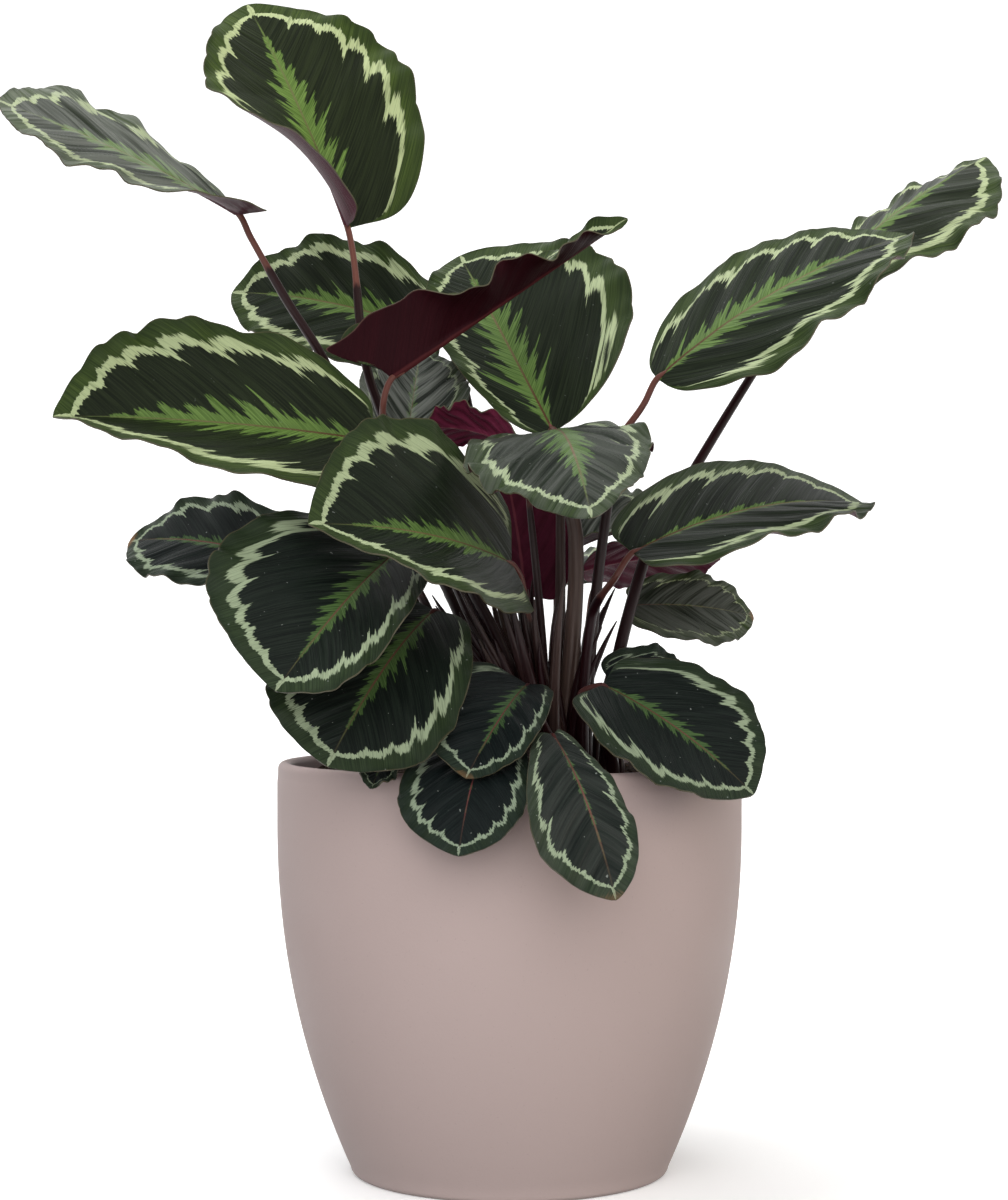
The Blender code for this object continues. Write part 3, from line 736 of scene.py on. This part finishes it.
def grow_blade(leaf):
    """A flat grid is bent into the blade's shape, thickened, and given the midrib's ridge below."""
    blade, flat = flat_sheet("blade_" + leaf["name"], 2 * COLUMNS, ROWS)
    mesh = blade.data
    u = np.sign(flat[:, 0]) * np.abs(flat[:, 0]) ** COLUMN_CROWDING
    even = (flat[:, 1] + 1) / 2
    m = np.clip(even - ROW_CROWDING * np.sin(2 * np.pi * even), 0, 1)
    place, aside, vein = blade_shape(leaf, u, m)
    move_points(mesh, place)

    # Each half of each leaf reads another stretch of the pattern, so no two are alike
    corner = face_corners(mesh)
    face_middle = flat[corner, 0].reshape(-1, 4).mean(axis=1)
    on_left = np.repeat(face_middle < 0, 4)
    lay_map(mesh, "blade", np.abs(u)[corner], m[corner])
    shifted = vein[corner] + (11 * int(leaf["name"]) + 5 * on_left) / VEIN_BUNDLES
    lay_map(mesh, "veins", shifted, aside[corner])
    mesh.uv_layers.remove(mesh.uv_layers[0])
    for name in ("age", "dry", "ring", "plume", "pink", "painted_sheen"):
        carry(mesh, name, leaf[name])
    carry(mesh, "aside", aside * leaf["length"])
    carry(mesh, "along", m)

    bpy.ops.object.mode_set(mode="EDIT")
    bpy.ops.mesh.select_all(action="SELECT")
    bpy.ops.mesh.remove_doubles(threshold=SAME_PLACE)
    bpy.ops.object.mode_set(mode="OBJECT")
    for finish in (leaf_upper, leaf_under, leaf_edge):
        mesh.materials.append(finish)
    thick = blade.modifiers.new("thickness", "SOLIDIFY")
    thick.thickness = BLADE_THICKNESS
    thick.offset = 0.0
    thick.material_offset = 1
    thick.material_offset_rim = 2
    bpy.ops.object.modifier_apply(modifier=thick.name)
    bpy.ops.object.shade_smooth_by_angle(angle=math.radians(50))

    # The ridge stands out on the under side alone
    count = len(mesh.vertices)
    under = np.zeros(count, dtype=bool)
    for face in mesh.polygons:
        if face.material_index == 1:
            under[list(face.vertices)] = True
    outward = np.zeros(count * 3, dtype=np.float32)
    across, along = np.zeros(count, dtype=np.float32), np.zeros(count, dtype=np.float32)
    mesh.vertex_normals.foreach_get("vector", outward)
    mesh.attributes["aside"].data.foreach_get("value", across)
    mesh.attributes["along"].data.foreach_get("value", along)
    ridge = MIDRIB_RIDGE * under * np.exp(-(across / RIDGE_WIDTH) ** 2) * (1.05 - along) * (along > 0.01)
    move_points(mesh, points_of(mesh) + outward.reshape(-1, 3) * ridge[:, None])
    mesh.update()
    return blade


def colour(screen):
    """A colour given in the 0 to 255 steps of a screen, as light."""
    shares = [part / 255 for part in screen]
    return tuple(((s + 0.055) / 1.055) ** 2.4 if s > 0.04 else s / 12.92 for s in shares)


def between(tree, share, pair):
    """A colour between a pair of screen colours."""
    return mixed(tree, share, colour(pair[0]), colour(pair[1]))


def plus(tree, first, second):
    """The sum of two numbers or results."""
    return reckon(tree, "ADD", first, second)


def less(tree, first, second):
    """One number or result less another."""
    return reckon(tree, "SUBTRACT", first, second)


def both_of(tree, map_name):
    """The two values of a place on one of the piece's own maps."""
    step = tree.nodes.new("ShaderNodeUVMap")
    step.uv_map = map_name
    parts = tree.nodes.new("ShaderNodeSeparateXYZ")
    link(tree, step.outputs["UV"], parts.inputs[0])
    return parts.outputs[0], parts.outputs[1]


def carried(tree, name):
    """A value that the piece carries."""
    step = tree.nodes.new("ShaderNodeAttribute")
    step.attribute_name = name
    return step.outputs["Fac"]


def streaks(tree, vein, aside, pitch, stretch, detail=2.0):
    """Noise drawn out into streaks along the veins."""
    spot = tree.nodes.new("ShaderNodeCombineXYZ")
    link(tree, times(tree, vein, pitch), spot.inputs[0])
    link(tree, times(tree, aside, stretch), spot.inputs[1])
    return speckle(tree, spot.outputs[0], 1.0, detail, 0.6)


def upper_side():
    """The green side: a dark middle, a pale jagged ring, a bright feather along the midrib, and veins."""
    made, shader = plain_material("leaf_upper_side", (0.03, 0.10, 0.04), 0.36)
    shader.inputs["Specular IOR Level"].default_value = 0.18
    tree = made.node_tree
    across, along = both_of(tree, "blade")
    vein, aside = both_of(tree, "veins")
    age, dry = carried(tree, "age"), carried(tree, "dry")
    fine = streaks(tree, vein, aside, *FINE_STREAKS)
    comb = streaks(tree, vein, aside, *COMB_STREAKS)
    coarse = streaks(tree, vein, aside, *COARSE_STREAKS)
    broad = streaks(tree, vein, aside, *BROAD_STREAKS)

    # Each bundle of side veins carries one stretch of the ring, with one spike
    bundles = times(tree, vein, VEIN_BUNDLES)
    in_bundle = reckon(tree, "FRACT", bundles)
    draw = tree.nodes.new("ShaderNodeTexWhiteNoise")
    draw.noise_dimensions = "1D"
    link(tree, reckon(tree, "FLOOR", bundles), draw.inputs["W"])
    spike = reckon(tree, "POWER", less(tree, 1.0, in_bundle), 5.0)
    drawn = reckon(tree, "POWER", draw.outputs["Value"], 3.0)
    spike_length = plus(tree, RING_SPIKE[0], times(tree, RING_SPIKE[1], drawn))

    # The ring lies three quarters of the way to the margin and closes just short of the tip
    past_bend = reckon(tree, "MAXIMUM", less(tree, along, RING_BENDS), 0.0)
    closing = reckon(tree, "POWER", reckon(tree, "DIVIDE", past_bend, RING_CLOSES), 4.0)
    ring_place = times(tree, RING_PLACE, reckon(tree, "SQRT", less(tree, 1.0, closing)))
    bulge = less(tree, reckon(tree, "SINE", times(tree, in_bundle, math.pi)), 0.6)
    drift = times(tree, less(tree, in_bundle, 0.5), 0.05)
    drift = plus(tree, drift, times(tree, bulge, 0.08))
    drift = plus(tree, drift, times(tree, less(tree, broad, 0.5), 0.12))
    off_ring = less(tree, across, plus(tree, ring_place, drift))
    width = times(tree, eased(tree, along, 0.02, 0.38, *RING_WIDTH), carried(tree, "ring"))
    width = times(tree, width, plus(tree, 1.0, times(tree, closing, 1.5)))
    steep = eased(tree, aside, 0.15, 0.42, 1.0, 0.4)
    jag_in = times(tree, less(tree, comb, 0.5), times(tree, steep, RING_TATTERS[0]))
    jag_out = times(tree, less(tree, plus(tree, fine, coarse), 1.0), times(tree, steep, RING_TATTERS[1]))
    spike = times(tree, times(tree, spike, spike_length), steep)
    inner = less(tree, less(tree, jag_in, width), spike)
    outer = plus(tree, jag_out, width)
    ring_in = eased(tree, less(tree, off_ring, inner), -0.008, 0.010)
    ring_out = eased(tree, less(tree, off_ring, outer), -0.010, 0.010, 1.0, 0.0)
    ring = times(tree, times(tree, ring_in, ring_out), eased(tree, along, 0.015, 0.07))

    # The feather is broadest in the middle third and runs out before the tip
    start = eased(tree, along, 0.0, 0.30, *FEATHER_WIDTH)
    end = eased(tree, along, 0.42, 0.93, 1.0, 0.0)
    barbs = plus(tree, times(tree, coarse, 1.4), times(tree, comb, 2.6))
    reach = times(tree, times(tree, start, end), less(tree, barbs, 1.0))
    tuft = reckon(tree, "FRACT", times(tree, vein, FEATHER_TUFTS))
    reach = times(tree, reach, eased(tree, tuft, 0.0, 0.9, 0.45, 1.25))
    reach = times(tree, reach, carried(tree, "plume"))
    feather = eased(tree, less(tree, aside, reach), -0.004, 0.003, 1.0, 0.0)

    # The greens, with the ring, the feather and the rib laid over them
    dark = mixed(tree, eased(tree, fine, 0.35, 0.65), between(tree, age, MIDDLE_DEEP),
                 between(tree, age, MIDDLE_LIGHT))
    outside = mixed(tree, eased(tree, fine, 0.3, 0.7), between(tree, age, OUTSIDE_DEEP),
                    between(tree, age, OUTSIDE_LIGHT))
    outside = mixed(tree, eased(tree, broad, 0.35, 0.65, 0.0, 0.35), outside, colour(OUTSIDE_CLOUD))
    deepening = eased(tree, across, 0.84, 1.0, 0.0, 0.55)
    outside = mixed(tree, deepening, outside, between(tree, age, OUTSIDE_EDGE))
    leaf = mixed(tree, eased(tree, off_ring, -0.02, 0.03), dark, outside)
    veined = eased(tree, fine, 0.48, 0.72, 0.0, 0.6)
    leaf = mixed(tree, ring, leaf, mixed(tree, veined, between(tree, age, RING_PALE), outside))
    bright = mixed(tree, eased(tree, fine, 0.3, 0.7), between(tree, age, FEATHER_DEEP),
                   between(tree, age, FEATHER_LIGHT))
    leaf = mixed(tree, feather, leaf, bright)
    redness = eased(tree, along, 0.05, 0.5)
    rib_colour = mixed(tree, redness, colour(RIB_FOOT), between(tree, age, RIB_ABOVE))
    rib = eased(tree, aside, 0.0030, 0.0065, 1.0, 0.0)
    rib = times(tree, rib, eased(tree, along, 0.5, 0.95, 0.9, 0.1))
    leaf = mixed(tree, rib, leaf, rib_colour)

    # The thin dry margin and tip, specks of dust on old leaves, and a painted sheen: pale grey in streaks in
    # place of glare
    leaf = mixed(tree, eased(tree, across, 0.985, 0.998, 0.0, 0.55), leaf, colour(MARGIN))
    withered = eased(tree, plus(tree, along, times(tree, coarse, 0.10)), 1.005, 1.035)
    leaf = mixed(tree, times(tree, withered, dry), leaf, colour(WITHERED))
    place = tree.nodes.new("ShaderNodeTexCoord").outputs["Object"]
    dust = eased(tree, speckle(tree, place, 500, 1), 0.77, 0.79, 0.0, 0.5)
    leaf = mixed(tree, times(tree, dust, age), leaf, colour(DUST))
    # Painted sheen: pale grey laid on in streaks, as much as the leaf carries, in place of the glare of
    # light
    sheen_paint_spread = eased(tree, plus(tree, broad, coarse), 0.75, 1.25, 0.1, 1.9)
    leaf = mixed(tree, times(tree, carried(tree, "painted_sheen"), sheen_paint_spread), leaf, colour(SHEEN_PAINT))
    link(tree, leaf, shader.inputs["Base Color"])
    link(tree, eased(tree, coarse, 0.3, 0.7, 0.34, 0.44), shader.inputs["Roughness"])
    raised(tree, shader, plus(tree, times(tree, fine, 0.5), coarse), 0.0009, 0.6)
    return made


def under_side():
    """The wine red side, with paler veins, a faint satin gloss, and painted sheen in pale grey."""
    made, shader = plain_material("leaf_under_side", (0.06, 0.02, 0.03), 0.42)
    shader.inputs["Specular IOR Level"].default_value = 0.05
    tree = made.node_tree
    across, along = both_of(tree, "blade")
    vein, aside = both_of(tree, "veins")
    pink = carried(tree, "pink")
    fine = streaks(tree, vein, aside, *WINE_STREAKS)
    broad = streaks(tree, vein, aside, *BROAD_STREAKS)
    wine = mixed(tree, fine, between(tree, pink, WINE_DEEP), between(tree, pink, WINE_LIGHT))
    wine = mixed(tree, eased(tree, broad, 0.4, 0.7, 0.0, 0.5), wine, between(tree, pink, WINE_CLOUD))
    rib = eased(tree, aside, 0.005, 0.011, 1.0, 0.0)
    wine = mixed(tree, times(tree, rib, 0.6), wine, between(tree, pink, RIB_BELOW))
    wine = mixed(tree, eased(tree, across, 0.980, 0.998, 0.0, 0.6), wine, colour(MARGIN_BELOW))
    # Painted sheen: pale grey mixed in, as much as the leaf carries, in place of the glare of light
    wine = mixed(tree, times(tree, carried(tree, "painted_sheen"), 0.4), wine, colour(SHEEN_PAINT_BELOW))
    link(tree, wine, shader.inputs["Base Color"])
    raised(tree, shader, fine, 0.0006, 0.5)
    return made


leaf_upper = upper_side()
leaf_under = under_side()
leaf_edge = plain_material("leaf_edge", colour(EDGE), 0.5)[0]
plant = [filled(leaf) for leaf in LEAVES]
for leaf in plant:
    blade = grow_blade(leaf)
    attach(blade, "root")
    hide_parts("leaf_" + leaf["name"])

# The stalks: long smooth stems, dark maroon and glossy, each with a paler, thinner joint just under its
# blade and a sheath round its foot. They rise from one clump in the middle of the soil.
STALK_DEPTH = 0.024
STALK_RISE = 0.004
STALK_BEND = 0.012
ARRIVE_STEEP = 0.8
BLADE_TO_STALK = 0.0009
MIDRIB_UNDER = 0.0011
JOINT_LENGTH = 0.036
JOINT_THINNER = 0.24
SHEATH_WIDER = 0.20
SHEATH_ENDS = 0.40
SHEATH_EASE = 0.3
SEAM_BULGE = 0.14
SEAM_CREASE = 0.07
JOINT_EASE = 0.0015
END_ROUND = 0.007
END_RADIUS = 0.3
STALK_STEPS = 14
STALK_SIDES = 14

# Screen colours of the skin, in pairs for a maroon and a brown stalk, and for a fresh and an old joint
MAROON_DEEP = ((15, 5, 7), (36, 24, 22))
MAROON_LIGHT = ((40, 15, 19), (98, 80, 72))
JOINT_DEEP = ((84, 40, 36), (28, 12, 14))
JOINT_LIGHT = ((124, 82, 70), (66, 34, 34))


def smooth_route(points, first, last, steps):
    """Points along a smooth curve through the given ones, which starts and ends in set directions."""
    points = [np.asarray(p, dtype=float) for p in points]
    lengths = [np.linalg.norm(b - a) for a, b in zip(points, points[1:])]
    slopes = [(c - a) / (g + h) for a, c, g, h in zip(points, points[2:], lengths, lengths[1:])]
    slopes = [unit(first), *slopes, unit(last)]
    route = []
    for a, b, u, v, h in zip(points, points[1:], slopes, slopes[1:], lengths):
        for t in np.arange(steps) / steps:
            route.append(a * (1 + 2 * t) * (1 - t) ** 2 + b * t * t * (3 - 2 * t)
                         + h * (u * t * (1 - t) ** 2 - v * t * t * (1 - t)))
    return route + [points[-1]]


def stalk_route(leaf, steps):
    """The stalk's middle line: up out of the soil, in an arc to the blade, and on under its midrib."""
    ahead = midrib(leaf, np.array([0.0]))[1][0]
    arrive = unit(leaf["arrive"] or ahead + (0, 0, ARRIVE_STEEP))
    end = leaf["base"] - arrive * BLADE_TO_STALK
    place, onward, up, _ = (rows[0] for rows in midrib(leaf, np.array([0.05])))
    x, y = leaf["root"]
    foot = np.array([x, y, SOIL_TOP - STALK_DEPTH])
    points = [(x, y, SOIL_TOP + STALK_RISE), *leaf["via"], end - arrive * STALK_BEND, end]
    points.append(place - up * MIDRIB_UNDER)
    return [foot] + smooth_route(points, (0, 0, 1), onward, steps)


def roll_tube(name, route, radius, to_end, age, brown):
    """A flat grid is rolled into a closed tube along a route, with a seam like a sheath's edge."""
    ahead = np.gradient(route, axis=0)
    ahead /= np.linalg.norm(ahead, axis=1, keepdims=True)
    right = np.cross(ahead, (0.3, 1.0, 0.1))
    right /= np.linalg.norm(right, axis=1, keepdims=True)
    near = np.cross(right, ahead)
    rows = len(route)
    tube, flat = flat_sheet(name, STALK_SIDES, rows - 1)
    mesh = tube.data
    turn = flat[:, 0] * math.pi
    row = np.rint((flat[:, 1] + 1) / 2 * (rows - 1)).astype(int)
    sheathed = np.clip((to_end[row] / to_end[0] - SHEATH_ENDS) / SHEATH_EASE, 0, 1)
    crease = np.exp(-((turn - 0.6) / 0.30) ** 2)
    seam = SEAM_BULGE * sheathed * np.cos(turn - 1.0) - SEAM_CREASE * sheathed * crease
    out = right[row] * np.cos(turn)[:, None] + near[row] * np.sin(turn)[:, None]
    move_points(mesh, route[row] + out * (radius[row] * (1 + seam))[:, None])
    corner = face_corners(mesh)
    lay_map(mesh, "stem", ((flat[:, 0] + 1) / 2)[corner], to_end[row][corner])
    mesh.uv_layers.remove(mesh.uv_layers[0])
    carry(mesh, "age", age)
    carry(mesh, "brown", brown)
    bpy.ops.object.mode_set(mode="EDIT")
    bpy.ops.mesh.select_all(action="SELECT")
    bpy.ops.mesh.remove_doubles(threshold=SAME_PLACE)
    bpy.ops.mesh.fill_holes(sides=0)
    smooth_faces(60)
    mesh.materials.append(stalk_skin)
    return tube


def to_the_end(route):
    """How far each point of a route still is from its end."""
    steps = np.linalg.norm(np.diff(route, axis=0), axis=1)
    return np.concatenate([np.cumsum(steps[::-1])[::-1], [0.0]])


def grow_stalk(leaf):
    """A leaf's stalk: a sheath at its foot, a dark stem, and a thinner joint that runs into the midrib."""
    route = np.array(stalk_route(leaf, STALK_STEPS))
    to_end = to_the_end(route)
    share = 1 - to_end / to_end[0]
    radius = leaf["stalk"] + (leaf["sheath"] * (1 + SHEATH_WIDER) - leaf["stalk"]) * (1 - share) ** 1.3
    joint = 1 / (1 + np.exp((to_end - JOINT_LENGTH) / JOINT_EASE))
    radius = radius * (1 - JOINT_THINNER * joint)
    radius = radius * (END_RADIUS + (1 - END_RADIUS) * np.clip(to_end / END_ROUND, 0, 1) ** 0.6)
    return roll_tube("stem_" + leaf["name"], route, radius, to_end, leaf["age"], leaf["brown"])


def maroon_skin():
    """Glossy maroon skin with faint lengthwise streaks, brownish pink at the joint under the blade."""
    made, shader = plain_material("maroon_skin", (0.05, 0.01, 0.02), 0.30)
    shader.inputs["Specular IOR Level"].default_value = 0.20
    tree = made.node_tree
    turn, to_blade = both_of(tree, "stem")
    streak = streaks(tree, turn, to_blade, 16, 30)
    blotch = streaks(tree, turn, to_blade, 3, 90)
    brown, age = carried(tree, "brown"), carried(tree, "age")
    maroon = mixed(tree, streak, between(tree, brown, MAROON_DEEP), between(tree, brown, MAROON_LIGHT))
    joint = mixed(tree, streak, between(tree, age, JOINT_DEEP), between(tree, age, JOINT_LIGHT))
    change = plus(tree, JOINT_LENGTH - 0.004, times(tree, blotch, 0.008))
    skin = mixed(tree, eased(tree, less(tree, to_blade, change), -0.002, 0.002), joint, maroon)
    link(tree, skin, shader.inputs["Base Color"])
    raised(tree, shader, streak, 0.0003, 0.5)
    return made


stalk_skin = maroon_skin()
for leaf in plant:
    stalk = grow_stalk(leaf)
    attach(stalk, "root")
    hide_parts("stalk_" + leaf["name"])

# The clump: short pointed sheaths that wrapped the stalks when they were young. They stand close
# round the stalks, dark maroon like them, and end in a thin dry point.
SHEATH_COUNT = 76
SHEATH_RADIUS = (0.00217, 0.00403)
SHEATH_TIP = 0.0003
SHEATH_HEIGHT = (0.065, 0.100)
SHEATH_DEPTH = 0.006
SHEATH_STEPS = 16
CLUMP_MIDDLE = (0.016, -0.004)
CLUMP_HALF = (0.013, 0.024)
LEAN_LEFT = -0.24
LEAN_OUT = (0.34, 0.25)
LEAN_STRAY = (-0.34, 0.18)
BEND_OUT = 0.3
PAST_JOINT = 0.01

pick = random.Random(137)
for number in range(SHEATH_COUNT):
    turn = 2 * math.pi * (number + 0.5 * pick.random()) / SHEATH_COUNT
    across, along = math.cos(turn), math.sin(turn)
    foot = np.array([CLUMP_MIDDLE[0] + CLUMP_HALF[0] * across, CLUMP_MIDDLE[1] + CLUMP_HALF[1] * along,
                     SOIL_TOP - SHEATH_DEPTH])
    height = pick.uniform(*SHEATH_HEIGHT)
    lean = np.array([LEAN_LEFT + LEAN_OUT[0] * across + pick.uniform(*LEAN_STRAY), LEAN_OUT[1] * along, 1.0])
    onward = lean + (BEND_OUT * across, 0, 0)
    route = np.array(smooth_route([foot, foot + lean * height], (0, 0, 1), onward, SHEATH_STEPS))
    share = np.linspace(0, 1, len(route))
    radius = pick.uniform(*SHEATH_RADIUS) * (1 - share ** 2.4) + SHEATH_TIP
    to_end = to_the_end(route) + JOINT_LENGTH + PAST_JOINT
    sheath = roll_tube(f"sheath_{number + 1:02d}", route, radius, to_end, 1.0, pick.random() ** 3)
    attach(sheath, "root")
